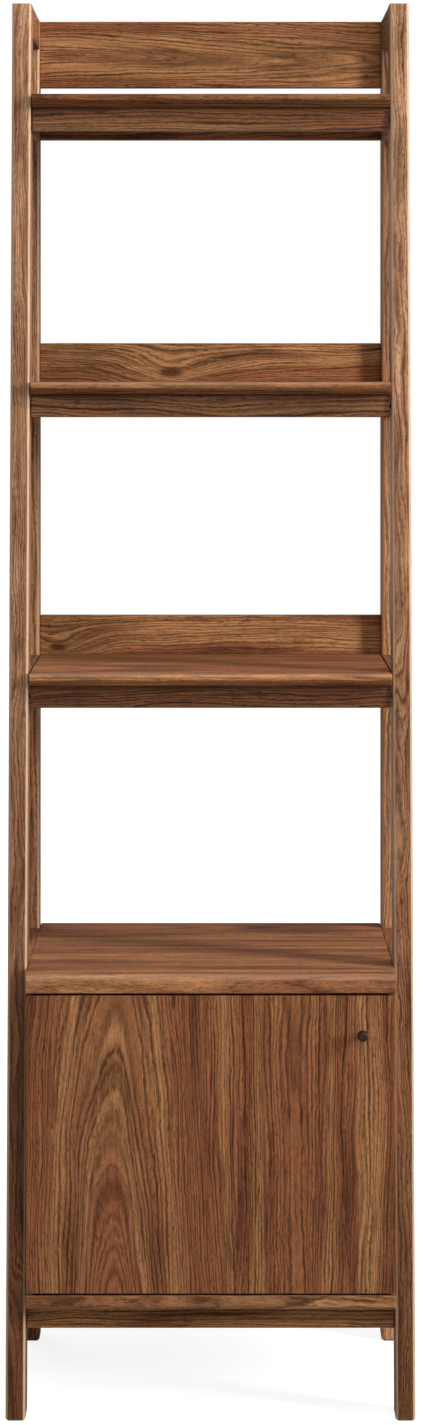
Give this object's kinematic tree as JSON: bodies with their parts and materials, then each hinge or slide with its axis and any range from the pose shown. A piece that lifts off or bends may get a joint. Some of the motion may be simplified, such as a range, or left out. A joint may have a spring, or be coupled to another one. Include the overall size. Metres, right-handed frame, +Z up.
{
  "type": "ladder bookcase",
  "caption": "Tall narrow walnut ladder bookcase with leaning front legs, open lipped shelves and a closed cabinet with a hinged door at the bottom.",
  "frame": {"origin": "floor level, centred on the overall width and on the depth from the back of the rear legs to the front of the knob", "axes": "+X to the right seen from the front, -Y out of the front, +Z up"},
  "size_m": [0.52, 0.42, 1.813],
  "materials": {
    "leg_walnut": "satin walnut veneer, grain along the leg",
    "rail_walnut": "satin walnut veneer, grain along the rail",
    "board_walnut": "satin walnut veneer, grain along the board",
    "apron_walnut": "satin walnut veneer, grain along the apron",
    "door_walnut": "satin walnut veneer, upright grain with cathedral figure",
    "back_panel": "printed walnut hardboard",
    "dowel_beech": "bare beech",
    "knob_dark_metal": "dark bronzed satin metal",
    "hinge_bronze": "dark bronzed steel",
    "strike_steel": "zinc plated steel",
    "fixing_steel": "zinc plated screws and bolts",
    "cam_zinc": "dull cast zinc",
    "washer_nylon": "dark brown nylon",
    "glide_plastic": "black moulded plastic",
    "catch_plastic": "brown moulded plastic",
    "magnet_steel": "plain steel pole plates"
  },
  "bodies": {
    "frame": {"left_front_leg": "leg_walnut", "left_rear_leg": "leg_walnut", "left_top_rail": "rail_walnut", "left_upper_side_rail": "rail_walnut", "left_middle_side_rail": "rail_walnut", "left_lower_side_rail": "rail_walnut", "left_cabinet_rail": "rail_walnut", "left_base_rail": "rail_walnut", "left_cabinet_side": "board_walnut", "left_frame_dowels": "dowel_beech", "right_front_leg": "leg_walnut", "right_rear_leg": "leg_walnut", "right_top_rail": "rail_walnut", "right_upper_side_rail": "rail_walnut", "right_middle_side_rail": "rail_walnut", "right_lower_side_rail": "rail_walnut", "right_cabinet_rail": "rail_walnut", "right_base_rail": "rail_walnut", "right_cabinet_side": "board_walnut", "right_frame_dowels": "dowel_beech", "upper_shelf": "board_walnut", "upper_front_apron": "apron_walnut", "middle_shelf": "board_walnut", "middle_front_apron": "apron_walnut", "lower_shelf": "board_walnut", "lower_front_apron": "apron_walnut", "upper_rear_apron": "apron_walnut", "base_front_apron": "apron_walnut", "base_rear_apron": "apron_walnut", "top_back_panel": "board_walnut", "middle_back_board": "board_walnut", "lower_back_board": "board_walnut", "cabinet_top": "board_walnut", "cabinet_bottom": "board_walnut", "cabinet_back": "back_panel", "back_board_dowels": "dowel_beech", "shelf_dowels": "dowel_beech", "carcass_dowels": "dowel_beech", "cam_locks": "cam_zinc", "cam_bolts": "fixing_steel", "carcass_bolts": "fixing_steel", "hinge_plate_screws": "fixing_steel", "catch_screws": "fixing_steel", "upper_hinge_plate": "hinge_bronze", "lower_hinge_plate": "hinge_bronze", "hinge_washer": "washer_nylon", "foot_glides": "glide_plastic", "catch_housing": "catch_plastic", "catch_magnet": "magnet_steel"},
    "door": {"door": "door_walnut", "door_knob": "knob_dark_metal", "knob_screw": "fixing_steel", "upper_hinge_leaf": "hinge_bronze", "lower_hinge_leaf": "hinge_bronze", "hinge_leaf_screws": "fixing_steel", "catch_strike": "strike_steel", "strike_screw": "fixing_steel"}
  },
  "joints": [
    {"name": "door_hinge", "type": "hinge", "parent": "frame", "child": "door", "pos_m": [-0.2282, -0.18, 0.35], "axis": [0, 0, -1], "range_deg": [0, 105]}
  ]
}
